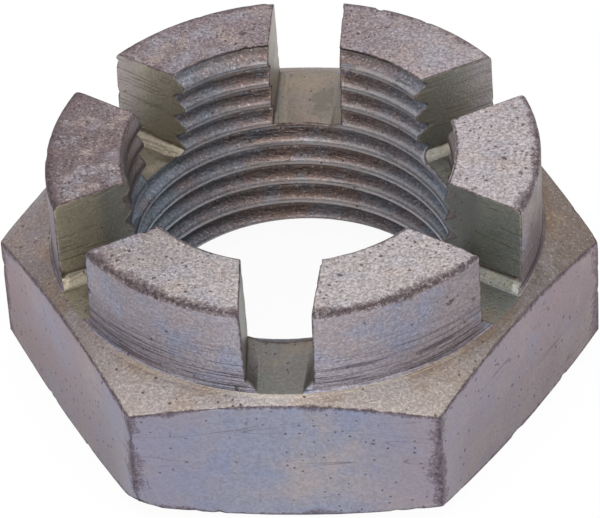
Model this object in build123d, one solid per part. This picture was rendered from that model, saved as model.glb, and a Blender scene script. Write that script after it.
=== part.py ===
from build123d import *
import os
from math import cos, pi, radians, tan

# Low castle nut for an M20 x 1.5 thread, 30 mm across flats: one solid with its crown up.
# Millimetres. The origin is the middle of the bearing face, +Z runs up the bore, one flat
# faces -Y, and each of the six slots crosses the middle of a flat.

# Thread. The bore is the thread's core hole; the fine helical groove itself is not cut.
thread_diameter = 20.0
thread_pitch = 1.5
core_drop = 1.0825  # core hole = thread diameter less this many pitches (ISO metric profile)

# Hexagon
flat_count = 6
across_flats = 30.0
hexagon_height = 8.88  # bearing face to the foot of the crown
bearing_diameter = 28.5  # flat ring left on the bearing face inside the lower chamfer
lower_chamfer_angle = 16.5  # degrees up from the bearing face
upper_chamfer_angle = 21.0  # degrees down from the foot of the crown to the corners

# Crown
total_height = 14.4
crown_diameter = 28.2
crown_edge_radius = 0.35  # rounding round the outer top edge
foot_radius = 0.3  # fillet where the crown wall meets the hexagon

# Slots, open at the top and at the outside, narrowing slightly to a floor with cut corners
slot_width = 4.35  # across the mouth
slot_draft = 1.5  # degrees each side
slot_depth = 5.6
slot_corner_bevel = 0.65  # 45 degree strip along each side of the floor

# Countersinks at the two ends of the bore
upper_sink_diameter = 19.3
upper_sink_angle = 45.0  # degrees from the axis
lower_sink_diameter = 22.2
lower_sink_angle = 51.0

# Worked out from the sizes above
core_radius = (thread_diameter - core_drop * thread_pitch) / 2
corner_radius = across_flats / 2 / cos(pi / flat_count)
crown_radius = crown_diameter / 2
bearing_radius = bearing_diameter / 2
lower_sink_radius = lower_sink_diameter / 2
upper_sink_radius = upper_sink_diameter / 2


def turned_profile():
    """Half section of the blank before the flats and slots are cut, as radius and height."""
    lower_corner = (corner_radius - bearing_radius) * tan(radians(lower_chamfer_angle))
    upper_corner = (corner_radius - crown_radius) * tan(radians(upper_chamfer_angle))
    lower_sink = (lower_sink_radius - core_radius) / tan(radians(lower_sink_angle))
    upper_sink = (upper_sink_radius - core_radius) / tan(radians(upper_sink_angle))
    outline = [
        (core_radius, lower_sink),
        (lower_sink_radius, 0),
        (bearing_radius, 0),
        (corner_radius, lower_corner),
        (corner_radius, hexagon_height - upper_corner),
        (crown_radius, hexagon_height),
        (crown_radius, total_height),
        (upper_sink_radius, total_height),
        (core_radius, total_height - upper_sink),
    ]
    section = make_face(Plane.XZ * Polyline(*outline, close=True))
    foot = section.vertices().sort_by_distance((crown_radius, 0, hexagon_height))[0]
    section = fillet(foot, foot_radius)
    rim = section.vertices().sort_by_distance((crown_radius, 0, total_height))[0]
    return fillet(rim, crown_edge_radius)


def slot_cutter():
    """One cutter as long as the nut is wide, so it makes two opposite slots at once."""
    narrowing = tan(radians(slot_draft))
    floor = total_height - slot_depth
    clear_height = total_height + slot_depth
    mouth_half = slot_width / 2 + (clear_height - total_height) * narrowing
    wall_half = slot_width / 2 - (slot_depth - slot_corner_bevel) * narrowing
    floor_half = wall_half - slot_corner_bevel
    right = [
        (floor_half, floor),
        (wall_half, floor + slot_corner_bevel),
        (mouth_half, clear_height),
    ]
    left = [(-x, z) for x, z in reversed(right)]
    section = make_face(Plane.XZ * Polyline(*right, *left, close=True))
    return extrude(section, corner_radius, both=True)


def castle_nut():
    blank = revolve(turned_profile(), Axis.Z)
    nut = blank & extrude(RegularPolygon(corner_radius, flat_count), total_height)
    cutter = slot_cutter()
    for pair in range(flat_count // 2):
        nut -= Rot(0, 0, pair * 360 / flat_count) * cutter
    return nut


os.makedirs("parts", exist_ok=True)
export_step(castle_nut(), "parts/castle_nut.step")
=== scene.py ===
from math import cos, pi, radians, sin, tan

import bpy
import numpy as np
from mathutils import Matrix, Vector


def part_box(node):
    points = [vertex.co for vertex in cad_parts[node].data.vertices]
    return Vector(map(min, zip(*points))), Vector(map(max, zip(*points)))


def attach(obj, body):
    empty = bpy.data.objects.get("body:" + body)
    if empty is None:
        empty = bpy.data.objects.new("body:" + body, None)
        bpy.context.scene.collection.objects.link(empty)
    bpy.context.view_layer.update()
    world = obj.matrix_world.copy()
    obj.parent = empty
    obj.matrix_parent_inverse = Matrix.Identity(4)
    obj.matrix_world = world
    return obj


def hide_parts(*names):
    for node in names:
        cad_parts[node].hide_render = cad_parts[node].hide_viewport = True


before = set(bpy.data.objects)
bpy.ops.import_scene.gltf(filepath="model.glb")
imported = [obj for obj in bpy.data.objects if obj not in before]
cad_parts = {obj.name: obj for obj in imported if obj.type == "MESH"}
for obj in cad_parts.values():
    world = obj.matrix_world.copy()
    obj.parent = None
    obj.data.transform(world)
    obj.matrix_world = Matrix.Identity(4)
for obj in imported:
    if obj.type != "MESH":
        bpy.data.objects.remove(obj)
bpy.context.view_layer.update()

# ---- Sizes ----
# In millimetres unless a name says otherwise. The nut stands on z = 0 with its bore
# along +Z, and lengths become metres only when a mesh is made.

MM = 0.001
box_low, box_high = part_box("castle_nut")
TOTAL_HEIGHT = (box_high.z - box_low.z) / MM
ACROSS_FLATS = (box_high.y - box_low.y) / MM

FLATS = 6
SECTOR = 2 * pi / FLATS
FLAT_RADIUS = ACROSS_FLATS / 2
CORNER_RADIUS = FLAT_RADIUS / cos(pi / FLATS)
CORNER_ROUND = 0.25  # worn upright edges of the hexagon
HEXAGON_HEIGHT = 8.88
BEARING_RADIUS = 14.25
LOWER_SLOPE = tan(radians(16.5))
UPPER_SLOPE = tan(radians(21.0))

CROWN_RADIUS = 14.1
RIM_ROUND = 0.34
FOOT_ROUND = 0.3

SLOT_DEPTH = 5.6
SLOT_BEVEL = 0.65
FLOOR_HEIGHT = TOTAL_HEIGHT - SLOT_DEPTH
BEVEL_HEIGHT = FLOOR_HEIGHT + SLOT_BEVEL

# Each slot was milled a little differently. Slot by slot from the front one, for its two sides:
# half its width at the mouth, its draft, and its own small turn. Then how much of the bevels'
# full rise it has at the bore and at the crown's outside.
SLOT_HALF = np.array([
    [2.09, 2.10], [2.17, 2.17], [1.85, 2.17], [2.07, 2.07], [2.17, 1.78], [2.17, 2.17],
])
SLOT_DRAFT = np.tan(np.radians([
    [1.3, 0.8], [1.5, 1.5], [1.5, 1.5], [1.0, 1.0], [1.5, 1.5], [1.5, 1.5],
]))
SIDE_TURN = np.radians([
    [3.4, -3.0], [0.0, 0.0], [0.0, 0.0], [0.5, -0.5], [0.0, 0.0], [0.0, 0.0],
])
BEVEL_SHARE = np.array([
    [0.0, 1.0], [0.5, 1.0], [0.5, 1.0], [0.3, 0.3], [0.5, 1.0], [0.5, 1.0],
])
SLOT_TURN = radians(-0.83)  # all slots, from the middles of their flats
SIDE_PIVOT = 11.9  # radius about which a slot's side is turned

THREAD_RADIUS = 10.0
THREAD_PITCH = 1.5
CORE_RADIUS = THREAD_RADIUS - 1.0825 * THREAD_PITCH / 2
THREAD_START = 0.191  # turns
BORE_SHIFT = np.array([-0.15, 0.05])  # the bore is a little off the middle of the crown
FRONT_EDGE, FRONT_BURR = radians(13.4), radians(3.2)  # where the front slot cuts the thread
UPPER_SINK_RADIUS = 9.65
LEFT_SINK_LESS, RIGHT_SINK_LESS = 0.42, 0.16  # the countersink is shallower on both sides
FRONT_SHALLOW, LEFT_SHALLOW = 0.85, 0.6  # how much of the thread's depth burrs take there
LOWER_SINK_RADIUS = 11.1
LOWER_SINK_SLOPE = tan(radians(51.0))

SIDE_INNER = 10.3  # radius at the bore of the line set in from a slot side's edge
SIDE_INSET = 0.45  # how far in that line is elsewhere
SIDE_RISE = 0.25  # above the bevel, height over which it moves in

# Rows that climb and cross the crown run outwards over a slot's floor instead. Where the rows
# of each face of the crown lie there, as shares of the way from the bore to the outside.
BORE_RUN, TOP_RUN, RIM_RUN, WALL_RUN = (0.235, 0.4), (0.4, 0.68), (0.69, 0.72), (0.73, 1.0)

EDGE = 0.11  # how far a worn edge's rounding reaches over each face beside it
CHIP_DEPTH = 0.16
SLOT_CORNER = 0.045  # a slot's inner corners are much sharper
KNOCK_PLACE = np.array([-8.66, -15.0, 0.8])  # lower front left corner of the hexagon
KNOCK_DEPTH, KNOCK_REACH = 0.32, 0.75
MERGE_SIZE = 0.002  # grid points this close become one

# Material slots of the nut
FLAT, SHOULDER, CROWN_WALL, TOPS, SLOT_FACE, THREAD, UNDERSIDE = range(7)


# ---- Small number helpers ----

def ramp(value, start, end):
    """0 below start, 1 above end, and an S-curve between them."""
    t = np.clip((value - start) / (end - start), 0.0, 1.0)
    return t * t * (3.0 - 2.0 * t)


def blend(first, second, share):
    """Straight blend from first to second."""
    return first + (second - first) * share


def steps(start, end, count, near_start=(), near_end=()):
    """Even steps from start to end, with extra ones at the given distances from either end."""
    extra = [start + np.sign(end - start) * d for d in near_start]
    extra += [end - np.sign(end - start) * d for d in near_end]
    inner = np.linspace(start, end, count)
    gap = abs(end - start) / (count - 1) * 0.45
    far = [
        v for v in inner
        if v in (start, end) or not extra or min(abs(v - e) for e in extra) > gap
    ]
    found = np.unique(np.round(np.concatenate([far, extra]), 9))
    return found if end > start else found[::-1]


def lumps(points, size, seed):
    """Smooth noise between -1 and 1 at 3-D points: random values on a cubic lattice of the
    given size, blended between the eight corners of each cell with an S-curve."""
    count, start = 32, 400.0  # lattice values each way, and where on it the points' origin is
    table = np.random.default_rng(seed).uniform(-1.0, 1.0, (count, count, count))
    on_lattice = points / size + start
    cell = np.floor(on_lattice).astype(int)
    part = on_lattice - cell
    part = part * part * (3.0 - 2.0 * part)
    total = np.zeros(points.shape[:-1])
    for dx in (0, 1):
        for dy in (0, 1):
            for dz in (0, 1):
                weight = (
                    (part[..., 0] if dx else 1 - part[..., 0])
                    * (part[..., 1] if dy else 1 - part[..., 1])
                    * (part[..., 2] if dz else 1 - part[..., 2])
                )
                corner = (cell + np.array([dx, dy, dz])) % count
                total += weight * table[corner[..., 0], corner[..., 1], corner[..., 2]]
    return total


# ---- Surfaces of the nut, each as a radius for an angle and a height ----

def thread_surface(angle, height):
    """Radius of the threaded bore. Distance from the groove's centre line, as a share of the
    pitch, sets the radius: groove bottom, straight 60 degree flank, then flat crest, averaged
    over a short height so that its corners are slightly rounded."""
    total = 0.0
    offsets = np.linspace(-0.08, 0.08, 7)  # shares of the pitch
    for shift in offsets:
        phase = height / THREAD_PITCH - angle / (2 * pi) - THREAD_START + shift
        away = np.abs((phase + 0.5) % 1.0 - 0.5)
        total = total + np.clip((0.375 - away) / 0.3125, 0.0, 1.0)
    cut = total / len(offsets)
    return CORE_RADIUS + (THREAD_RADIUS - CORE_RADIUS) * cut


def bore_surface(angle, height):
    """Radius of the finished bore about the crown's axis: the thread, opened out by the
    countersink at each end, which is shallower at the left and right above, and burred shallow
    at the left and on either hand of the front slot, plus the bore's own small shift."""
    from_front = np.abs((angle + pi / 2 + pi) % (2 * pi) - pi)
    burr = FRONT_SHALLOW * np.exp(-(((from_front - FRONT_EDGE) / FRONT_BURR) ** 2))
    left, right = np.exp(-((1 + np.cos(angle)) / 0.1)), np.exp(-((1 - np.cos(angle)) / 0.1))
    burr = (burr + LEFT_SHALLOW * left) * ramp(height, FLOOR_HEIGHT - 0.6, FLOOR_HEIGHT + 0.2)
    thread = blend(thread_surface(angle, height), CORE_RADIUS + 0.25, burr)
    lower = LOWER_SINK_RADIUS - height * LOWER_SINK_SLOPE
    upper = UPPER_SINK_RADIUS - LEFT_SINK_LESS * left - RIGHT_SINK_LESS * right
    upper = upper - (TOTAL_HEIGHT - height)
    shift = BORE_SHIFT[0] * np.cos(angle) + BORE_SHIFT[1] * np.sin(angle)
    shift = shift * ramp(height, 0.0, 2.0)
    return np.maximum(thread, np.maximum(lower, upper)) + shift


def hexagon_surface(angle):
    """Radius of the hexagon: a flat lies at the flat radius over the cosine of the angle from
    its middle, and near a corner the distance is that to a small circle that rounds it."""
    from_corner = (angle - pi / 2) % SECTOR - SECTOR / 2
    from_flat = SECTOR / 2 - np.abs(from_corner)
    flat = FLAT_RADIUS / np.cos(from_flat)
    centre = CORNER_RADIUS - CORNER_ROUND / cos(SECTOR / 2)
    across = centre * np.sin(from_corner)
    inside = np.maximum(CORNER_ROUND**2 - across**2, 0.0)
    round_off = centre * np.cos(from_corner) + np.sqrt(inside)
    return np.where(inside > 0, np.minimum(flat, round_off), flat)


def cone_height(radius):
    """Height of the hexagon's turned top, which falls steadily outwards from the crown."""
    return HEXAGON_HEIGHT - (radius - CROWN_RADIUS) * UPPER_SLOPE


# ---- The nut as one grid ----
# Rows run once round its section: up the bore, over the top, down the
# crown, over the hexagon and back under. Columns run round the axis. Each column lies in an
# upright plane that passes the axis at a set offset, and the planes turn gradually from one
# side of a slot to the next, so slot sides, floors and turned surfaces all fall on the grid.

FLOOR, BEVEL, SIDE, CROWN = range(4)  # kinds of column


def side_plane(slot, side, own):
    """Angle, and offset at the mouth and per millimetre of height, of the plane that holds one
    side of a slot. side is 0 for the one met first going round, 1 for the other. own is 1 for
    the slot as it was milled and 0 for an even one."""
    sign = 2 * side - 1
    side_turn = own * SIDE_TURN[slot % FLATS, side]
    half = blend(SLOT_HALF.mean(), SLOT_HALF[slot % FLATS, side], own)
    draft = blend(SLOT_DRAFT.mean(), SLOT_DRAFT[slot % FLATS, side], own)
    angle = -pi / 2 + slot * SECTOR + own * SLOT_TURN + side_turn
    return np.array([angle, sign * half - SIDE_PIVOT * sin(side_turn), sign * draft])


def columns(own):
    """All columns in order round the axis. Each row of the result holds a kind, the planes of
    the slot sides on either hand (angle, mouth offset, draft), the share of the way from the
    first to the second, how high above its floor the slot lies there, and for a column on a
    slot's side how far it is from the crown's edge, 0, over a line set in from it, 1, to the
    top of the bevel, 2."""
    found = []
    half = SLOT_HALF.mean() - 0.1  # half a slot's width down at its bevels
    inner = 1 - SLOT_BEVEL / half
    tick = SLOT_CORNER / half
    floor = [0.0, 0.3, 0.6, inner - 1.6 * tick]
    bevel = [inner, inner + tick, 0.5 * (1 + inner), 1 - tick, 1.0]
    # places across a slot, -1 to 1, along its side, and along the crown, 0 to 1
    across = np.array(sorted([-v for v in floor + bevel if v > 0] + floor + bevel))
    rise = np.clip((np.abs(across) - inner) / (1 - inner), 0, 1) * SLOT_BEVEL
    side = np.array([0.2, 0.5, 1.0, 1.15, 1.35, 1.6, 1.85, 1.97])
    near = [0.012, 0.03]
    middle = [0.4855, 0.4925, 0.5, 0.5075, 0.5145]
    crown = np.unique(np.round(np.concatenate([
        [0.0, 1.0], near, [1 - v for v in near], middle,
        np.linspace(0.03, 0.4855, 18), np.linspace(0.5145, 0.97, 18),
    ]), 6))
    for slot in range(FLATS):
        before, after = side_plane(slot, 0, own), side_plane(slot, 1, own)
        following = side_plane(slot + 1, 0, own)
        for share in side:
            found.append([SIDE, *before, *before, 0.0, SLOT_BEVEL, share])
        for across_it, height in zip(across, rise):
            kind = FLOOR if height == 0 else BEVEL
            found.append([kind, *before, *after, (across_it + 1) / 2, height, 0.0])
        for share in side[::-1]:
            found.append([SIDE, *after, *after, 1.0, SLOT_BEVEL, share])
        for share in crown:
            found.append([CROWN, *after, *following, share, SLOT_BEVEL, 0.0])
    return np.array(found)


COLUMNS = columns(1.0)
EVEN_COLUMNS = columns(0.0)
KIND = COLUMNS[:, 0].astype(int)
IN_SLOT = KIND <= BEVEL

# Where the slot's floor, bevel or side begins in each column, at the crown's outside and at the
# bore, where it changes gradually from one slot to the next.
SLOT_NUMBER = np.arange(len(KIND)) // (len(KIND) // FLATS)
BORE_SHARE = blend(
    BEVEL_SHARE[SLOT_NUMBER, 0], BEVEL_SHARE[(SLOT_NUMBER + 1) % FLATS, 0],
    np.where(KIND == CROWN, COLUMNS[:, 7], 0.0),
)
SLOT_TOP = FLOOR_HEIGHT + COLUMNS[:, 8] * np.where(KIND == CROWN, 1.0, BEVEL_SHARE[SLOT_NUMBER, 1])
BORE_TOP = FLOOR_HEIGHT + COLUMNS[:, 8] * BORE_SHARE


def place(surface, height, even=0.0, chosen=slice(None)):
    """Point where each column's plane meets a round surface: surface(angle, height) gives a
    radius, the column's offset at that height fixes the angle, and the two are settled by
    repeating. The point is the offset across the plane plus the rest of the radius along it.
    even blends from the slots as milled to even ones, whose middle planes hold the corners.
    chosen picks the columns."""
    drop = TOTAL_HEIGHT - np.clip(height, BEVEL_HEIGHT, TOTAL_HEIGHT)
    share = COLUMNS[chosen, 7]
    a0, m0, d0, a1, m1, d1 = (
        blend(own, level, even)
        for own, level in zip(COLUMNS[chosen].T[1:7], EVEN_COLUMNS[chosen].T[1:7])
    )
    angle = blend(a0, a1, share)
    offset = blend(m0 - drop * d0, m1 - drop * d1, share)
    radius = np.full(np.broadcast(offset, height).shape, CROWN_RADIUS)
    for _ in range(6):
        radius = surface(angle + np.arcsin(offset / radius), height)
    along = np.sqrt(radius**2 - offset**2)
    x = along * np.cos(angle) - offset * np.sin(angle)
    y = along * np.sin(angle) + offset * np.cos(angle)
    return np.stack([x, y, np.broadcast_to(height, x.shape)], axis=-1)


def nearest(these, wanted, onward):
    """For each of these columns the nearest wanted one, further on round the axis or back."""
    found = np.flatnonzero(wanted)
    place_in = np.searchsorted(found, these)
    return np.where(onward, found[place_in % len(found)], found[place_in - 1])


def section_rows():
    """Every row of the grid, as points in shape (rows, columns, 3), with a list of the row
    numbers at which each face of the nut starts."""
    blocks, marks = [], {}

    def keep(name, points):
        marks[name] = sum(len(b) for b in blocks)
        blocks.append(points)

    def turned(radius, height, even=0.0):
        return place(lambda angle, _: radius + 0 * angle, height, even)

    # bearing face, from its outer edge inwards
    radius = steps(BEARING_RADIUS, LOWER_SINK_RADIUS, 9, (0.15,), (EDGE,))[:, None]
    keep("bearing", turned(radius, 0.0 * radius + 0 * SLOT_TOP, 1.0))

    # bore below the slots, then above them
    low = np.concatenate([[0.12], np.linspace(0.3, 1.5, 9)[:-1], np.linspace(1.5, 9.45, 86)]) / 9.45
    low = low[:, None]
    keep("bore", place(bore_surface, low * BORE_TOP, 1.0 - ramp(low, 0.0, 0.9)))
    threshold = blocks[-1][-1]  # where the bore ends in a slot
    floor_end = turned(CROWN_RADIUS, SLOT_TOP)

    def slotted(points, run, shares):
        """These rows, but running out over the floor in a slot."""
        run = blend(*run, shares)[:, None, None]
        return np.where(IN_SLOT[:, None], blend(threshold, floor_end, run), points)

    up = np.linspace(0, 1, 54)[1:]
    wall = place(bore_surface, blend(BORE_TOP, TOTAL_HEIGHT, up[:-1, None]))
    keep("upper bore", slotted(wall, BORE_RUN, up[:-1]))

    # top face of the crown
    rim = CROWN_RADIUS - RIM_ROUND
    shares = steps(0.0, 1.0, 16, (EDGE / 4.1, 2.4 * EDGE / 4.1), (0.04,))
    start = place(bore_surface, TOTAL_HEIGHT + 0 * SLOT_TOP)
    top = blend(start[None], turned(rim, TOTAL_HEIGHT + 0 * SLOT_TOP)[None], shares[:, None, None])
    keep("top", slotted(top, TOP_RUN, shares))

    # rounding, then the crown's outer wall
    turn = np.linspace(0, 1, 5)[1:-1]
    radius = (rim + RIM_ROUND * np.sin(turn * pi / 2))[:, None]
    height = (TOTAL_HEIGHT - RIM_ROUND * (1 - np.cos(turn * pi / 2)))[:, None]
    keep("rim", slotted(turned(radius, height + 0 * SLOT_TOP), RIM_RUN, turn))
    shares = np.linspace(0, 1, 21)
    height = blend(TOTAL_HEIGHT - RIM_ROUND, BEVEL_HEIGHT, shares)[:, None]
    held_in = np.where(shares < 1, 0.6 * shares, 1.0)  # keeps side columns from crossing
    keep("wall", slotted(turned(CROWN_RADIUS, height + 0 * SLOT_TOP), WALL_RUN, held_in))

    # foot of the wall: the last strip and its fillet, cut off level wherever a slot is lower
    slope = pi / 2 - np.arctan(UPPER_SLOPE)
    reach = FOOT_ROUND * tan(slope / 2)
    centre = np.array([CROWN_RADIUS + FOOT_ROUND, HEXAGON_HEIGHT + reach])
    height = np.linspace(BEVEL_HEIGHT, centre[1], 4)[1:, None]
    keep("foot", turned(CROWN_RADIUS, np.minimum(height, SLOT_TOP)))
    turn = (np.linspace(0, 1, 5)[1:] * slope)[:, None]
    radius = centre[0] - FOOT_ROUND * np.cos(turn)
    height = np.minimum(centre[1] - FOOT_ROUND * np.sin(turn), SLOT_TOP)
    keep("fillet", turned(radius, height))

    # hexagon: turned top, flats, lower chamfer
    floor_edge = CROWN_RADIUS + (HEXAGON_HEIGHT - FLOOR_HEIGHT) / UPPER_SLOPE + 0.01
    edge = place(lambda angle, _: hexagon_surface(angle), 0.0 * SLOT_TOP, 1.0)
    radius_at_edge = np.hypot(edge[:, 0], edge[:, 1])
    shares = steps(0.0, 1.0, 9, (), (0.07,))[:, None]
    radius = blend(floor_edge, radius_at_edge, shares)
    keep("cone", turned(radius, cone_height(radius), ramp(shares, 0.0, 1.0)))
    top_height = cone_height(radius_at_edge)
    low_height = (radius_at_edge - BEARING_RADIUS) * LOWER_SLOPE
    shares = steps(0.0, 1.0, 25, (0.015, 0.035), (0.035, 0.015))[1:, None]
    height = blend(top_height, low_height, shares)
    keep("flat", place(lambda angle, _: hexagon_surface(angle), height, 1.0))
    shares = steps(0.0, 1.0, 6, (0.08,), ())[1:-1, None]
    radius = blend(radius_at_edge, BEARING_RADIUS, shares)
    keep("chamfer", turned(radius, (radius - BEARING_RADIUS) * LOWER_SLOPE, 1.0))

    points = np.concatenate(blocks)
    marks["end"] = len(points)

    # slot sides: from the crown's edge to a line set in from it, clear of the thread's grooves,
    # and from there straight to the top of the bevel
    sides = np.flatnonzero(KIND == SIDE)
    onward = COLUMNS[sides, 7] > 0.5
    crown_edge = nearest(sides, KIND == CROWN, onward)
    bevel_edge = nearest(sides, IN_SLOT, ~onward)
    rim_points, foot_points = points[:, crown_edge], points[:, bevel_edge]
    radius = np.linalg.norm(rim_points[..., :2], axis=2)
    height = rim_points[..., 2]
    in_bore = np.arange(len(points))[:, None] < marks["top"]
    lowest = np.where(in_bore, BORE_TOP[crown_edge], BEVEL_HEIGHT)
    risen = ramp(height, lowest, lowest + SIDE_RISE)
    inner = blend(radius, np.clip(radius, SIDE_INNER, CROWN_RADIUS - SIDE_INSET), risen)
    lowered = np.minimum(height, TOTAL_HEIGHT - SIDE_INSET)
    inset = place(lambda angle, _: inner, lowered, 0.0, crown_edge)
    inset = np.where(risen[..., None] > 0, inset, rim_points)
    share = COLUMNS[sides, 9][None, :, None]
    first = blend(rim_points, inset, np.minimum(share, 1.0))
    second = blend(inset, foot_points, np.maximum(share - 1.0, 0.0))
    points[:, sides] = np.where(share <= 1.0, first, second)
    return points, marks


POINTS, MARKS = section_rows()


def spread(flags, points, reach):
    """Distance in millimetres from every grid point to the nearest flagged one, measured over
    the surface: each sweep lets a point take a neighbour's distance plus the step to it.
    No distance is above reach."""
    sweeps = 30
    away = np.where(flags, 0.0, reach * 4)
    step = {
        (axis, turn): np.linalg.norm(points - np.roll(points, turn, axis=axis), axis=2)
        for axis in (0, 1) for turn in (1, -1)
    }
    for _ in range(sweeps):
        for (axis, turn), length in step.items():
            away = np.minimum(away, np.roll(away, turn, axis=axis) + length)
    return np.minimum(away, reach)


def edge_flags():
    """Grid points on outward edges, on the crown's outer rim, which is worn most, and on inward
    corners, where the colour gets painted shade."""
    outward, rim, inward = (np.zeros(POINTS.shape[:2], bool) for _ in range(3))
    crown = KIND == CROWN
    share = COLUMNS[:, 7]
    crown_edge = crown & ((share == 0) | (share == 1))
    corner = crown & (np.abs(share - 0.5) < 1e-6)
    above_slot = slice(MARKS["upper bore"], MARKS["foot"])
    outward[MARKS["bore"] - 1] = True
    outward[MARKS["upper bore"] - 1, IN_SLOT] = True
    outward[MARKS["top"], crown] = True
    rim[MARKS["rim"] + 1, crown] = True
    outward[MARKS["flat"] - 1] = True
    outward[MARKS["chamfer"] - 1] = True
    outward[above_slot, crown_edge] = True
    outward[MARKS["flat"]:, corner] = True
    inward[MARKS["fillet"], crown] = True
    bevel = np.flatnonzero(KIND == BEVEL)
    lines = [c for c in bevel if KIND[c - 1] == SIDE or KIND[(c + 1) % len(KIND)] == SIDE]
    for line in lines:
        inward[above_slot, line] = True
    return outward, rim, inward


def worn(points, cells, to_edge, thread):
    """Points with their edges worn: each point on an outward edge is drawn towards the mean of
    its neighbours, and chips sink the surface beside it where lumpy noise is high, by a depth
    that fades away from the edge, as does one knocked corner. Directions are the sum of the
    cross products of the diagonals of the cells around each point."""
    total, count = np.zeros_like(points), np.zeros(len(points))
    for start, end in ((0, 1), (1, 2), (2, 3), (3, 0)):
        for one, other in ((start, end), (end, start)):
            real = cells[:, one] != cells[:, other]
            np.add.at(total, cells[real, one], points[cells[real, other]])
            np.add.at(count, cells[real, one], 1)
    mean = total / np.maximum(count, 1)[:, None]
    area = np.cross(
        points[cells[:, 2]] - points[cells[:, 0]], points[cells[:, 3]] - points[cells[:, 1]]
    )
    normal = np.zeros_like(points)
    for side in range(4):
        np.add.at(normal, cells[:, side], area)
    normal /= np.maximum(np.linalg.norm(normal, axis=1, keepdims=True), 1e-12)
    pull = np.where(to_edge < 1e-6, 0.6 + 0.35 * lumps(points, 0.9, 11), 0.0)
    uneven = lumps(points, 0.55, 12) + 0.6 * lumps(points, 0.23, 13) - 0.35
    chip = CHIP_DEPTH * ramp(uneven, 0.0, 0.9) * np.exp(-((to_edge / 0.3) ** 2))
    chip = chip * np.where(thread, 0.25, 1.0)
    from_knock = np.linalg.norm(points - KNOCK_PLACE, axis=1)
    chip = chip + KNOCK_DEPTH * np.exp(-((from_knock / KNOCK_REACH) ** 2))
    points = blend(points, mean, pull[:, None]) - chip[:, None] * normal
    points[:, 2] = np.clip(points[:, 2], 0.0, TOTAL_HEIGHT)
    return points


def face_slots():
    """Material number of every grid cell, by its row and by the kinds of its columns. Below
    the bevels only the floor's own cells are still the slot's."""
    rows = np.arange(len(POINTS))
    names = [
        ("bearing", UNDERSIDE), ("bore", THREAD), ("top", TOPS), ("rim", TOPS),
        ("wall", CROWN_WALL), ("cone", SHOULDER), ("flat", FLAT), ("chamfer", UNDERSIDE),
    ]
    by_row = np.zeros(len(POINTS), int)
    for name, number in names:
        by_row[rows >= MARKS[name] - (name in ("top", "cone", "flat", "chamfer"))] = number
    slots = np.repeat(by_row[:, None], len(KIND), axis=1)
    beside = np.roll(KIND, -1)
    cut = (KIND != CROWN) | (beside != CROWN)
    slots[MARKS["upper bore"] - 1:MARKS["foot"], cut] = SLOT_FACE
    slots[MARKS["foot"]:MARKS["cone"] - 1, (KIND == FLOOR) | (beside == FLOOR)] = SLOT_FACE
    return slots


def new_object(name, data):
    """An object in the scene, at the origin."""
    made = bpy.data.objects.new(name, data)
    bpy.context.scene.collection.objects.link(made)
    return made


def make_nut():
    """One closed mesh from the grid. Points that fall together, where slot sides end at the
    bevels and rows end at the slot floors, are merged, and cells left with no area are dropped."""
    keys = np.round(POINTS.reshape(-1, 3) / MERGE_SIZE + 0.25).astype(np.int64)
    _, first, merged = np.unique(keys, axis=0, return_index=True, return_inverse=True)
    merged = merged.reshape(POINTS.shape[:2])
    down, across = np.roll(merged, -1, 0), np.roll(merged, -1, 1)
    corner = np.roll(down, -1, 1)
    cells = np.stack([merged, down, corner, across], axis=-1).reshape(-1, 4)
    same = cells == np.roll(cells, -1, axis=1)
    kept = (same.sum(axis=1) < 2) & (cells[:, 0] != cells[:, 2]) & (cells[:, 1] != cells[:, 3])
    cells, same, slots = cells[kept], same[kept], face_slots().reshape(-1)[kept]

    distances = []
    for flags in edge_flags():
        away = np.full(len(first), np.inf)
        np.minimum.at(away, merged.reshape(-1), spread(flags, POINTS, 2.0).reshape(-1))
        distances.append(away)
    thread = np.zeros(len(first), bool)
    thread[merged[MARKS["bore"]:MARKS["top"] - 1, KIND == CROWN].reshape(-1)] = True
    to_edge = np.minimum(distances[0], distances[1])
    points = worn(POINTS.reshape(-1, 3)[first], cells, to_edge, thread)

    whole = ~same.any(axis=1)
    faces, numbers = cells[whole].tolist(), [slots[whole]]
    for side in range(4):
        folded = same[:, side]
        faces += cells[folded][:, [c for c in range(4) if c != side]].tolist()
        numbers.append(slots[folded])
    mesh = bpy.data.meshes.new("crown_nut")
    mesh.from_pydata((points * MM).tolist(), [], faces)
    mesh.polygons.foreach_set("material_index", np.concatenate(numbers).astype(np.int32))
    mesh.polygons.foreach_set("use_smooth", np.ones(len(mesh.polygons), bool))
    for name, values in zip(("edge", "rim", "corner"), distances):
        layer = mesh.attributes.new(name, "FLOAT", "POINT")
        layer.data.foreach_set("value", values.astype(np.float32))
    mesh.validate()
    mesh.update()
    return new_object("crown_nut", mesh)


# ---- Materials: node groups for what several finishes share, then one finish for each face ----

def shade(red, green, blue):
    """Linear colour of the given screen levels, 0 to 255."""
    level = np.array([red, green, blue]) / 255.0
    linear = np.where(level <= 0.04045, level / 12.92, ((level + 0.055) / 1.055) ** 2.4)
    return (*linear.tolist(), 1.0)


def add(tree, kind, inputs=None, **settings):
    """Adds a node with its own settings, and feeds its inputs: a socket is linked, anything
    else is set as a plain value."""
    made = tree.nodes.new(kind)
    for name, value in settings.items():
        setattr(made, name, value)
    for name, value in (inputs or {}).items():
        if isinstance(value, bpy.types.NodeSocket):
            tree.links.new(value, made.inputs[name])
        else:
            made.inputs[name].default_value = value
    return made


def tree_of(*values):
    """The node tree that the sockets among these values belong to."""
    return next(value.id_data for value in values if isinstance(value, bpy.types.NodeSocket))


def calculate(operation, *values):
    """Result of one Math node on sockets or numbers."""
    inputs = dict(enumerate(values))
    return add(tree_of(*values), "ShaderNodeMath", inputs, operation=operation).outputs[0]


def product(first, *others):
    """Sockets or numbers multiplied together."""
    for other in others:
        first = calculate("MULTIPLY", first, other)
    return first


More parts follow.
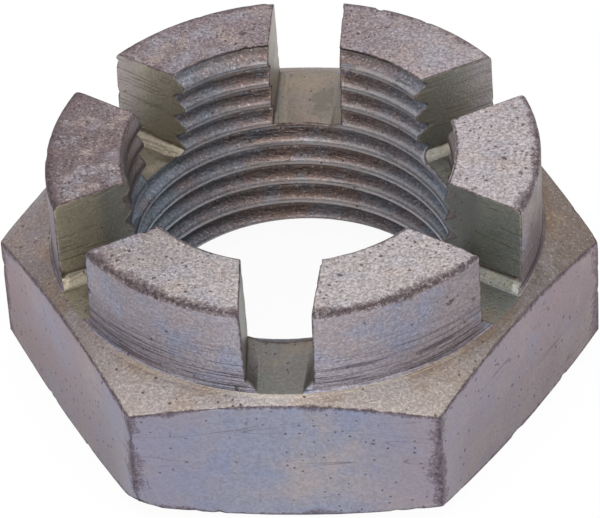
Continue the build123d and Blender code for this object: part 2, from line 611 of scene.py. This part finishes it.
def sloped(value, slope, start):
    """A value times a slope, plus what it starts from."""
    return calculate("MULTIPLY_ADD", value, slope, start)


def soft_step(value, start, end):
    """0 below start, 1 above end, with an S-curve between, for a socket."""
    inputs = {"Value": value, "From Min": start, "From Max": end}
    made = add(tree_of(value), "ShaderNodeMapRange", inputs, interpolation_type="SMOOTHSTEP")
    return made.outputs["Result"]


def tint(share, first, second):
    """Colour mixed from first to second by a share."""
    inputs = {0: share, 6: first, 7: second}
    return add(tree_of(share), "ShaderNodeMix", inputs, data_type="RGBA").outputs[2]


def stain(colour, mask, strength, levels):
    """A colour mixed towards the given screen levels by a mask times a strength."""
    return tint(product(mask, strength), colour, shade(*levels))


def noise(point, scale, detail=3.0, roughness=0.55, distortion=0.0):
    """Noise from 0 to 1 at a point in millimetres; scale is lumps per millimetre."""
    made = add(tree_of(point), "ShaderNodeTexNoise", {
        "Vector": point, "Scale": scale, "Detail": detail,
        "Roughness": roughness, "Distortion": distortion,
    })
    return made.outputs["Fac"]


def stretched(point, scale):
    """The point with each axis multiplied, so that a pattern is drawn out along the others."""
    inputs = {0: point, 1: scale}
    return add(tree_of(point), "ShaderNodeVectorMath", inputs, operation="MULTIPLY").outputs[0]


def moved(point, offset):
    """The point plus an offset, so that two patterns of one kind differ."""
    return add(tree_of(point), "ShaderNodeVectorMath", {0: point, 1: offset}).outputs[0]


def scaled(colour, level):
    """A colour times a level."""
    inputs = {0: colour, "Scale": level}
    return add(tree_of(colour), "ShaderNodeVectorMath", inputs, operation="SCALE").outputs[0]


def parts_of(vector):
    """The X, Y and Z of a vector."""
    return add(tree_of(vector), "ShaderNodeSeparateXYZ", {0: vector}).outputs


def from_axis(point):
    """How far a point is from the axis, and the X and Y of the direction to it."""
    tree, level = tree_of(point), stretched(point, (1, 1, 0))
    radius = add(tree, "ShaderNodeVectorMath", {0: level}, operation="LENGTH").outputs["Value"]
    direction = add(tree, "ShaderNodeVectorMath", {0: level}, operation="NORMALIZE").outputs[0]
    return radius, parts_of(direction)


def new_group(name, inputs, outputs):
    """An empty node group with its named sockets, and its input and output nodes."""
    tree = bpy.data.node_groups.new(name, "ShaderNodeTree")
    for label, kind, value in inputs:
        socket = tree.interface.new_socket(name=label, in_out="INPUT", socket_type=kind)
        if value is not None:
            socket.default_value = value
    for label, kind in outputs:
        tree.interface.new_socket(name=label, in_out="OUTPUT", socket_type=kind)
    return tree, tree.nodes.new("NodeGroupInput").outputs, tree.nodes.new("NodeGroupOutput").inputs


def finish_group(tree, made, **results):
    """The group with its results linked to its output sockets."""
    for label, value in results.items():
        tree.links.new(value, made[label])
    return tree


FLOAT, VECTOR, COLOR = "NodeSocketFloat", "NodeSocketVector", "NodeSocketColor"


def tone_and_light_round_axis():
    """Group: a colour that turns from one side of the nut to the next, partly the zinc's own tint
    and partly painted light, each side lighter or darker by how light falls on it and what it
    reflects. The square of the direction's x gives the share of the side colours, and the rest
    is the front and back ones."""
    tree, given, made = new_group("tone_and_light_round_axis", [
        ("Point", VECTOR, None), ("Front", COLOR, None), ("Right", COLOR, None),
        ("Back", COLOR, None), ("Left", COLOR, None),
    ], [("Color", COLOR)])
    _, direction = from_axis(given["Point"])
    to_right = soft_step(direction["X"], -0.3, 0.3)
    to_back = soft_step(direction["Y"], -0.3, 0.3)
    sides = tint(to_right, given["Left"], given["Right"])
    ends = tint(to_back, given["Front"], given["Back"])
    share = calculate("POWER", calculate("ABSOLUTE", direction["X"]), 2.0)
    return finish_group(tree, made, Color=tint(share, ends, sides))


def plating_patches():
    """Group: where the zinc has clouded warm or cool, in soft patches of a given size, a fine
    grain, and light flecks. Each is noise between two levels."""
    tree, given, made = new_group("plating_patches", [
        ("Point", VECTOR, None), ("Size", FLOAT, 3.0),
    ], [("Warm", FLOAT), ("Cool", FLOAT), ("Grain", FLOAT), ("Fleck", FLOAT)])
    scale = calculate("DIVIDE", 1.0, given["Size"])
    elsewhere = moved(given["Point"], (31.0, 17.0, 5.0))
    warm = noise(given["Point"], scale, 5.0, 0.62)
    cool = noise(elsewhere, scale, 4.0, 0.6)
    grain = noise(given["Point"], 5.5, 3.0, 0.75)
    fleck = noise(elsewhere, 7.0, 2.0, 0.6)
    return finish_group(
        tree, made, Warm=soft_step(warm, 0.48, 0.66), Cool=soft_step(cool, 0.48, 0.66),
        Grain=soft_step(grain, 0.32, 0.68), Fleck=soft_step(fleck, 0.56, 0.72),
    )


def pits():
    """Group: scattered pits. Points are strewn one to a cell of the given size, a share of
    them is kept, and each is a ragged spot whose radius is a share of the cell; slow noise
    makes some areas more pitted than others."""
    tree, given, made = new_group("pits", [
        ("Point", VECTOR, None), ("Cell", FLOAT, 1.0), ("Radius", FLOAT, 0.14), ("Share", FLOAT, 0.4),
    ], [("Mask", FLOAT)])
    rough = add(tree, "ShaderNodeTexNoise", {
        "Vector": given["Point"], "Scale": 3.2, "Detail": 3.0, "Roughness": 0.7,
    })
    offset = moved(rough.outputs["Color"], (-0.5, -0.5, -0.5))
    offset = scaled(offset, product(given["Cell"], 0.55))
    cells = add(tree, "ShaderNodeTexVoronoi", {
        "Vector": moved(given["Point"], offset),
        "Scale": calculate("DIVIDE", 1.0, given["Cell"]),
    })
    chance = parts_of(cells.outputs["Color"])
    area = soft_step(noise(given["Point"], 0.16, 2.0), 0.3, 0.65)
    kept = calculate("LESS_THAN", chance["X"], product(given["Share"], area))
    radius = product(sloped(chance["Y"], 0.7, 0.45), given["Radius"])
    spot = soft_step(cells.outputs["Distance"], radius, product(radius, 0.55))
    return finish_group(tree, made, Mask=product(spot, kept))


def edge_wear():
    """Group: a dark, chipped band beside worn edges. Distance is 1 where the band should end on
    average; slow noise lets it out or draws it in along the edge, fine noise makes it ragged
    and leaves it bare in places. Chips is a narrower copy for the deepest damage."""
    tree, given, made = new_group("edge_wear", [
        ("Point", VECTOR, None), ("Distance", FLOAT, None),
    ], [("Band", FLOAT), ("Chips", FLOAT)])
    fine = noise(given["Point"], 3.4, 5.0, 0.8)
    slow = noise(given["Point"], 0.5, 2.0, 0.6)
    reach = calculate("MAXIMUM", sloped(slow, 3.4, -0.7), 0.2)
    away = calculate("DIVIDE", given["Distance"], reach)
    shaken = sloped(fine, 3.4, calculate("SUBTRACT", away, 1.7))
    bare = soft_step(noise(given["Point"], 6.0, 3.0, 0.7), 0.62, 0.5)
    band = product(soft_step(shaken, 1.05, 0.6), sloped(bare, 0.6, 0.4))
    return finish_group(tree, made, Band=band, Chips=soft_step(shaken, 0.35, -0.1))


def hairlines():
    """Group: fine dark cracks and scratches, where noise passes its middle value, kept only in
    some areas. A point stretched along one axis first gives long scratches across the others."""
    tree, given, made = new_group("hairlines", [
        ("Point", VECTOR, None), ("Width", FLOAT, 0.01),
    ], [("Mask", FLOAT)])
    level = noise(given["Point"], 1.0, 2.0, 0.5, 0.3)
    away = calculate("ABSOLUTE", calculate("SUBTRACT", level, 0.5))
    line = soft_step(away, given["Width"], 0.0)
    elsewhere = moved(given["Point"], (11.0, 3.0, 7.0))
    area = soft_step(noise(elsewhere, 0.7, 2.0), 0.47, 0.58)
    return finish_group(tree, made, Mask=product(line, area))


def machined_lines():
    """Group: thin broken lines left by a tool, from noise that has been drawn out along the
    tool's path before it comes in. High levels become lines."""
    tree, given, made = new_group("machined_lines", [
        ("Course", VECTOR, None), ("Share", FLOAT, 0.3),
    ], [("Lines", FLOAT)])
    level = noise(given["Course"], 1.0, 3.0, 0.7)
    start = calculate("SUBTRACT", 0.75, product(given["Share"], 0.5))
    end = calculate("ADD", start, 0.07)
    return finish_group(tree, made, Lines=soft_step(level, start, end))


def turned_course():
    """Group: coordinates for marks that run round the axis. Direction from the axis, times a
    small number, changes slowly round the nut; radius less height changes quickly across."""
    tree, given, made = new_group("turned_course", [
        ("Point", VECTOR, None), ("Along", FLOAT, 4.0), ("Across", FLOAT, 8.0),
    ], [("Course", VECTOR), ("Radius", FLOAT)])
    radius, direction = from_axis(given["Point"])
    across = calculate("SUBTRACT", radius, parts_of(given["Point"])["Z"])
    joined = add(tree, "ShaderNodeCombineXYZ", {
        "X": product(direction["X"], given["Along"]),
        "Y": product(direction["Y"], given["Along"]),
        "Z": product(across, given["Across"]),
    })
    return finish_group(tree, made, Course=joined.outputs[0], Radius=radius)


GROUPS = {build.__name__: build() for build in (
    tone_and_light_round_axis, plating_patches, pits, edge_wear, hairlines, machined_lines, turned_course,
)}


def use(name, inputs):
    """Places one of the shared groups in a material with its own values."""
    tree = tree_of(*inputs.values())
    return add(tree, "ShaderNodeGroup", inputs, node_tree=GROUPS[name]).outputs


def radius_of(point):
    """How far a point is from the axis."""
    return use("turned_course", {"Point": point})["Radius"]


def from_upright_edge(point):
    """On a flat, the distance to the nearest upright edge of the hexagon: half the flat's width
    less the distance from its middle, which is the side of a right triangle whose longest side
    is the radius and whose other side is the flat radius."""
    squared = calculate("POWER", radius_of(point), 2.0)
    squared = calculate("MAXIMUM", calculate("SUBTRACT", squared, FLAT_RADIUS**2), 0.0)
    along = calculate("SQRT", squared)
    return calculate("SUBTRACT", CORNER_RADIUS * sin(SECTOR / 2), along)


def sideways(point, start, end):
    """0 near the nut's middle plane and 1 far out on either side, by the size of x."""
    return soft_step(calculate("ABSOLUTE", parts_of(point)["X"]), start, end)


CHIP_COLOUR = (50, 38, 46)
# colour of the painted shade in inward corners
CORNER_SHADE_COLOUR = (60, 48, 42)


def zinc_finish(name, around, warm, cool, fleck, patch_size, patch_share, grain, pit_sets,
                pit_colour, wear_colour, edge_reach, rim_reach, line_colour, line_share,
                roughness, relief_depth, course="turned", hairs=None, upright_reach=None,
                corner_shade=0.45, extra=None):
    """One machined or forged face under its zinc. The colour goes round the axis, clouds warm
    and cool, and takes light flecks, tool lines, dark pits, hairlines, worn edges and painted
    shade in corners, in that order; the same masks set the roughness, the metal and the relief.
    around has the colours at the front, right, back and left, which carry painted light as well
    as the zinc's tint. Sizes and reaches are in millimetres."""
    material = bpy.data.materials.new(name)
    material.use_nodes = True
    tree = material.node_tree
    shader = tree.nodes["Principled BSDF"]
    place_node = add(tree, "ShaderNodeTexCoord")
    point = add(tree, "ShaderNodeMapping", {
        "Vector": place_node.outputs["Object"], "Scale": (1 / MM, 1 / MM, 1 / MM),
    }).outputs[0]
    edge, rim, corner = (
        add(tree, "ShaderNodeAttribute", attribute_name=label).outputs["Fac"]
        for label in ("edge", "rim", "corner")
    )

    sides = {side: shade(*levels) for side, levels in zip(("Front", "Right", "Back", "Left"), around)}
    # the colours round the axis hold painted light and reflections as well as the zinc's tint
    colour = use("tone_and_light_round_axis", {"Point": point, **sides})["Color"]
    patches = use("plating_patches", {"Point": point, "Size": patch_size})
    colour = stain(colour, patches["Warm"], patch_share, warm)
    colour = stain(colour, patches["Cool"], patch_share, cool)
    fleck_colour, fleck_share = fleck
    colour = stain(colour, patches["Fleck"], fleck_share, fleck_colour)
    colour = scaled(colour, sloped(patches["Grain"], 2 * grain, 1 - grain))

    if course == "turned":
        path = use("turned_course", {"Point": point, "Along": 2.2, "Across": 6.5})["Course"]
    else:
        path = stretched(point, course)
    lines = use("machined_lines", {"Course": path, "Share": line_share})["Lines"]
    if extra:
        colour, lines = extra(point, colour, lines)
    colour = stain(colour, lines, 0.75, line_colour)

    pitted = 0.0
    for cell, radius, share in pit_sets:
        spots = use("pits", {"Point": point, "Cell": cell, "Radius": radius, "Share": share})
        pitted = calculate("MAXIMUM", pitted, spots["Mask"])
    colour = stain(colour, pitted, 0.85, pit_colour)
    if hairs:
        stretch, width, strength = hairs
        drawn_out = stretched(point, stretch)
        cracks = use("hairlines", {"Point": drawn_out, "Width": width})["Mask"]
        colour = stain(colour, cracks, strength, pit_colour)

    away = calculate(
        "MINIMUM", calculate("DIVIDE", edge, edge_reach), calculate("DIVIDE", rim, rim_reach)
    )
    if upright_reach:
        beside = calculate("DIVIDE", from_upright_edge(point), upright_reach)
        away = calculate("MINIMUM", away, beside)
    wear = use("edge_wear", {"Point": point, "Distance": away})
    colour = stain(colour, wear["Band"], 0.75, wear_colour)
    colour = stain(colour, wear["Chips"], 0.6, CHIP_COLOUR)
    # painted shade: darker towards inward corners
    colour = stain(colour, soft_step(corner, 0.2, 0.0), corner_shade, CORNER_SHADE_COLOUR)
    tree.links.new(colour, shader.inputs["Base Color"])

    dullness_and_shade = sloped(wear["Band"], 0.15, sloped(pitted, 0.2, roughness))
    tree.links.new(dullness_and_shade, shader.inputs["Roughness"])
    metal = sloped(wear["Band"], -0.3, sloped(pitted, -0.4, 0.85))
    tree.links.new(metal, shader.inputs["Metallic"])
    height = sloped(lines, -0.35, product(patches["Grain"], 0.6))
    height = sloped(wear["Chips"], -0.8, sloped(pitted, -1.0, height))
    relief = add(tree, "ShaderNodeBump", {"Height": height, "Distance": relief_depth * MM})
    tree.links.new(relief.outputs[0], shader.inputs["Normal"])
    return material


def thread_tones(point, colour, lines):
    """Crests get a painted highlight, paler than the flanks, and the grooves painted shade, by how
    far the surface is from the axis, and the mouth of the bore is brown on both sides."""
    radius, height = radius_of(point), parts_of(point)["Z"]
    mouth = product(soft_step(height, 9.0, 11.0), sideways(point, 7.2, 8.6))
    # painted shade: darker in the grooves, furthest from the axis
    colour = stain(colour, soft_step(radius, 9.72, 9.95), 0.5, (42, 43, 43))
    # painted highlight: paler on the crests, nearest the axis
    colour = stain(colour, soft_step(radius, 9.42, 9.2), 0.38, (190, 188, 190))
    return stain(colour, mouth, 0.75, (104, 86, 76)), lines


def foot_grooves(point, colour, lines):
    """The turned top carries brown grooves close round the crown and few further out, a painted
    highlight ring at the crown's foot in front, and painted shade in front on both sides."""
    radius, forward = radius_of(point), parts_of(point)["Y"]
    near = soft_step(radius, 15.1, 14.3)
    clouds = noise(stretched(point, (0.3, 0.3, 0.3)), 1.0)
    brown = product(near, soft_step(clouds, 0.4, 0.6))
    colour = stain(colour, brown, 0.45, (110, 84, 62))
    # painted highlight: a pale ring at the crown's foot in front
    ring = product(soft_step(radius, 14.58, 14.46), soft_step(forward, -9.0, -13.0))
    colour = stain(colour, ring, 0.3, (208, 196, 180))
    # painted shade: darker in front on both sides
    dullness_and_shade = product(sideways(point, 8.5, 12.5), soft_step(forward, -1.0, -5.0))
    colour = scaled(colour, sloped(dullness_and_shade, -0.28, 1.0))
    return colour, product(lines, sloped(near, 0.7, 0.3))


def foot_lines(point, colour, lines):
    """Tool lines are strong near the foot of the crown and fade out towards its top."""
    low = soft_step(parts_of(point)["Z"], 12.2, 9.6)
    return colour, product(lines, sloped(low, 0.85, 0.12))


def flat_tones(point, colour, lines):
    """The front flat is warmer at both ends, and the flats on either side get painted shade below."""
    # painted shade: the side flats darker towards the bottom, for the floor they reflect
    low = soft_step(parts_of(point)["Z"], 8.0, 0.5)
    dullness_and_shade = product(low, sideways(point, 8.5, 10.5))
    colour = stain(colour, sideways(point, 3.0, 7.5), 0.4, (152, 138, 142))
    return scaled(colour, sloped(dullness_and_shade, -0.3, 1.0)), lines


def slot_tones(point, colour, lines):
    """In a slot painted light sets the levels by height: the bevels catch most light, the sides less
    and the floor least. A side goes olive and darker towards the bore, painted shade, and in front
    blue-grey beside the bore, painted shade too; at the back it is paler outside, a painted
    reflection. The bevels of the side slots are speckled cream, partly a painted reflection, and
    those of the others get painted shade."""
    radius, parts = radius_of(point), parts_of(point)
    floor = soft_step(parts["Z"], FLOOR_HEIGHT + 0.15, FLOOR_HEIGHT + 0.02)
    side = soft_step(parts["Z"], BEVEL_HEIGHT - 0.05, BEVEL_HEIGHT + 0.1)
    bevel = calculate("SUBTRACT", calculate("SUBTRACT", 1.0, floor), side)
    back = soft_step(parts["Y"], 0.0, 4.0)
    front = calculate("SUBTRACT", 1.0, back)
    inner = product(soft_step(radius, 13.4, 10.8), side)
    innermost = product(soft_step(radius, 11.8, 10.8), side, front)
    outer = product(soft_step(radius, 11.9, 13.0), side, back)
    # painted shade: the sides olive and darker towards the bore
    colour = stain(colour, inner, 0.45, (114, 113, 102))
    # painted shade: blue-grey beside the bore in front
    colour = stain(colour, innermost, 0.55, (90, 92, 96))
    # painted reflection: the sides paler outside at the back
    colour = stain(colour, outer, 0.6, (140, 132, 136))
    # painted light by height: sides lighter, floor darker
    colour = scaled(colour, sloped(side, 0.28, sloped(floor, -0.14, 1.0)))
    speckle = soft_step(noise(point, 5.0, 3.0, 0.7), 0.42, 0.6)
    beside = sideways(point, 5.0, 8.0)
    # cream speckle on the side slots' bevels, partly a painted reflection
    colour = stain(colour, product(bevel, speckle, beside), 0.4, (186, 172, 150))
    # painted shade on the bevels of the front and back slots
    dullness_and_shade = product(bevel, calculate("SUBTRACT", 1.0, beside))
    return scaled(colour, sloped(dullness_and_shade, -0.3, 1.0)), lines


# Each finish's four colours round the axis hold painted light: each side lighter or darker by how
# light falls on it.
FINISHES = [
    zinc_finish(
        "flat_zinc", around=((139, 141, 158), (140, 121, 128), (138, 132, 142), (136, 110, 117)),
        warm=(164, 152, 148), cool=(124, 136, 168), fleck=((172, 168, 176), 0.25),
        patch_size=5.0, patch_share=0.62, grain=0.13,
        pit_sets=((0.8, 0.16, 0.75), (2.4, 0.08, 0.7), (0.4, 0.26, 0.4)), pit_colour=(66, 58, 68),
        hairs=((0.05, 0.05, 0.5), 0.004, 0.45), upright_reach=0.62,
        wear_colour=(84, 70, 80), edge_reach=0.26, rim_reach=0.3,
        line_colour=(96, 92, 106), line_share=0.1, course=(0.5, 0.5, 3.0),
        roughness=0.45, relief_depth=0.025, extra=flat_tones,
    ),
    zinc_finish(
        "shoulder_zinc", around=((171, 161, 156), (119, 106, 99), (138, 128, 123), (130, 118, 120)),
        warm=(146, 126, 106), cool=(158, 154, 158), fleck=((205, 196, 184), 0.45),
        patch_size=3.0, patch_share=0.5, grain=0.24,
        pit_sets=((0.9, 0.14, 0.6), (0.4, 0.24, 0.4)), pit_colour=(84, 66, 56),
        wear_colour=(98, 82, 84), edge_reach=0.13, rim_reach=0.2,
        line_colour=(112, 84, 62), line_share=0.3,
        roughness=0.42, relief_depth=0.028, extra=foot_grooves,
    ),
    zinc_finish(
        "crown_wall_zinc", around=((158, 153, 162), (118, 104, 104), (136, 128, 132), (118, 106, 111)),
        warm=(160, 148, 148), cool=(138, 146, 172), fleck=((185, 180, 188), 0.3),
        patch_size=4.0, patch_share=0.6, grain=0.22,
        pit_sets=((1.5, 0.15, 0.7), (0.5, 0.22, 0.4)), pit_colour=(70, 58, 64),
        wear_colour=(88, 72, 80), edge_reach=0.12, rim_reach=0.28,
        line_colour=(72, 70, 82), line_share=0.48,
        roughness=0.45, relief_depth=0.04, extra=foot_lines,
    ),
    zinc_finish(
        "crown_top_zinc", around=((177, 170, 171), (177, 168, 171), (137, 123, 127), (116, 101, 104)),
        warm=(176, 160, 152), cool=(158, 158, 168), fleck=((226, 218, 214), 0.4),
        patch_size=1.8, patch_share=0.5, grain=0.38,
        pit_sets=((1.4, 0.16, 1.5), (0.6, 0.22, 0.8), (0.3, 0.3, 0.7)), pit_colour=(84, 66, 70),
        hairs=((1.3, 1.3, 1.3), 0.022, 0.4),
        wear_colour=(98, 80, 84), edge_reach=0.1, rim_reach=0.5,
        line_colour=(120, 108, 110), line_share=0.2, course=(1.6, 1.6, 1.6),
        roughness=0.48, relief_depth=0.06,
    ),
    zinc_finish(
        "slot_zinc", around=((128, 124, 122), (134, 138, 134), (146, 134, 126), (158, 150, 132)),
        warm=(160, 142, 118), cool=(118, 130, 124), fleck=((175, 165, 150), 0.25),
        patch_size=3.0, patch_share=0.4, grain=0.13,
        pit_sets=((0.4, 0.24, 0.5),), pit_colour=(72, 64, 58),
        wear_colour=(100, 84, 78), edge_reach=0.08, rim_reach=0.1,
        line_colour=(112, 108, 98), line_share=0.42, course=(0.3, 0.3, 8.0),
        roughness=0.4, relief_depth=0.02, corner_shade=0.7, extra=slot_tones,
    ),
    zinc_finish(
        "thread_zinc", around=((128, 128, 134), (122, 138, 158), (114, 96, 88), (132, 146, 162)),
        warm=(132, 108, 104), cool=(112, 124, 138), fleck=((190, 182, 182), 0.6),
        patch_size=2.0, patch_share=0.45, grain=0.32,
        pit_sets=((0.9, 0.13, 0.5), (0.4, 0.22, 0.35)), pit_colour=(66, 50, 50),
        wear_colour=(104, 86, 84), edge_reach=0.08, rim_reach=0.1,
        line_colour=(84, 86, 94), line_share=0.3,
        roughness=0.34, relief_depth=0.02, extra=thread_tones,
    ),
    zinc_finish(
        "underside_zinc", around=((138, 132, 140), (134, 124, 128), (134, 128, 134), (134, 122, 128)),
        warm=(146, 132, 120), cool=(126, 132, 150), fleck=((172, 166, 168), 0.3),
        patch_size=4.0, patch_share=0.5, grain=0.15,
        pit_sets=((1.1, 0.14, 0.6), (0.45, 0.22, 0.35)), pit_colour=(72, 62, 66),
        wear_colour=(88, 76, 84), edge_reach=0.25, rim_reach=0.3,
        line_colour=(98, 88, 88), line_share=0.34,
        roughness=0.46, relief_depth=0.05,
    ),
]
nut = make_nut()
for finish in FINISHES:
    nut.data.materials.append(finish)
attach(nut, "root")
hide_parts("castle_nut")


# ---- Floor, light and camera ----

def seen_directly(tree):
    """1 where the camera, a reflection or glass looks at the surface, else 0."""
    path = add(tree, "ShaderNodeLightPath")
    seen = calculate("MAXIMUM", path.outputs["Is Camera Ray"], path.outputs["Is Glossy Ray"])
    return calculate("MAXIMUM", seen, path.outputs["Is Transmission Ray"])


def make_floor():
    """A wide flat sheet at the nut's bearing face: white light where it is looked at, apart
    from a share of lit paper that shows the nut's shadow."""
    reach = 3.0  # metres
    points = np.array([[-reach, -reach, 0], [reach, -reach, 0], [reach, reach, 0], [-reach, reach, 0]])
    mesh = bpy.data.meshes.new("floor")
    mesh.from_pydata(points.tolist(), [], [[0, 1, 2, 3]])
    floor = new_object("floor", mesh)
    material = bpy.data.materials.new("pale_floor")
    material.use_nodes = True
    tree = material.node_tree
    tree.nodes.clear()
    seen = seen_directly(tree)
    glow = add(tree, "ShaderNodeEmission", {"Color": (1, 1, 1, 1), "Strength": 1.0})
    paper = add(tree, "ShaderNodeBsdfDiffuse", {"Color": (1, 1, 1, 1)})
    share = sloped(seen, GLOW_SEEN - GLOW_UNSEEN, GLOW_UNSEEN)
    mixed = add(tree, "ShaderNodeMixShader", {0: share, 1: paper.outputs[0], 2: glow.outputs[0]})
    add(tree, "ShaderNodeOutputMaterial", {"Surface": mixed.outputs[0]})
    mesh.materials.append(material)


def make_world():
    """White where it is looked at, and a little darker as a light."""
    world = bpy.data.worlds.new("studio")
    world.use_nodes = True
    tree = world.node_tree
    tree.nodes.clear()
    seen = seen_directly(tree)
    strength = add(tree, "ShaderNodeMapRange", {"Value": seen, "To Min": WORLD_LEVEL, "To Max": 1.0})
    sky = add(tree, "ShaderNodeBackground", {"Color": (1, 1, 1, 1), "Strength": strength.outputs[0]})
    add(tree, "ShaderNodeOutputWorld", {"Surface": sky.outputs[0]})
    bpy.context.scene.world = world


def soft_lamp(name, place, target, width, watts):
    """A square area lamp at one point, facing another."""
    lamp = bpy.data.lights.new(name, "AREA")
    lamp.energy, lamp.size = watts, width
    holder = new_object(name, lamp)
    holder.location = place
    holder.rotation_euler = (Vector(target) - Vector(place)).to_track_quat("-Z", "Y").to_euler()


WORLD_LEVEL = 0.8
GLOW_SEEN, GLOW_UNSEEN = 0.94, 0.2  # how much of the floor is light, looked at or not
MIDDLE = (0.0, 0.0, 0.007)  # metres, as the lamps' own places and widths are
make_floor()
make_world()
soft_lamp("top_lamp", (0.0, 0.05, 0.6), MIDDLE, 0.5, 0.8)
soft_lamp("front_lamp", (0.05, -0.55, 0.3), MIDDLE, 0.5, 2.0)

AZIMUTH, ELEVATION, ROLL = radians(5.3534), radians(40.7872), radians(-3.4935)
DISTANCE = 0.27635
TARGET = Vector((0.06, 0.006, 6.315)) * MM
LENS = 286.56


def make_camera():
    """Camera on a circle round the nut: azimuth from -Y towards +X, elevation, then a roll."""
    back = Vector((
        sin(AZIMUTH) * cos(ELEVATION), -cos(AZIMUTH) * cos(ELEVATION), sin(ELEVATION)
    ))
    right = (-back).cross(Vector((0, 0, 1))).normalized()
    upward = back.cross(right)
    side = right * cos(ROLL) + upward * sin(ROLL)
    top = upward * cos(ROLL) - right * sin(ROLL)
    data = bpy.data.cameras.new("camera")
    data.lens, data.sensor_width, data.sensor_fit = LENS, 36.0, "HORIZONTAL"
    data.clip_start, data.clip_end = 0.01, 20.0
    camera = new_object("camera", data)
    turned = Matrix((side, top, back)).transposed().to_4x4()
    camera.matrix_world = Matrix.Translation(TARGET + back * DISTANCE) @ turned
    bpy.context.scene.camera = camera


make_camera()
bpy.context.scene.view_settings.view_transform = "Standard"

bpy.context.view_layer.update()
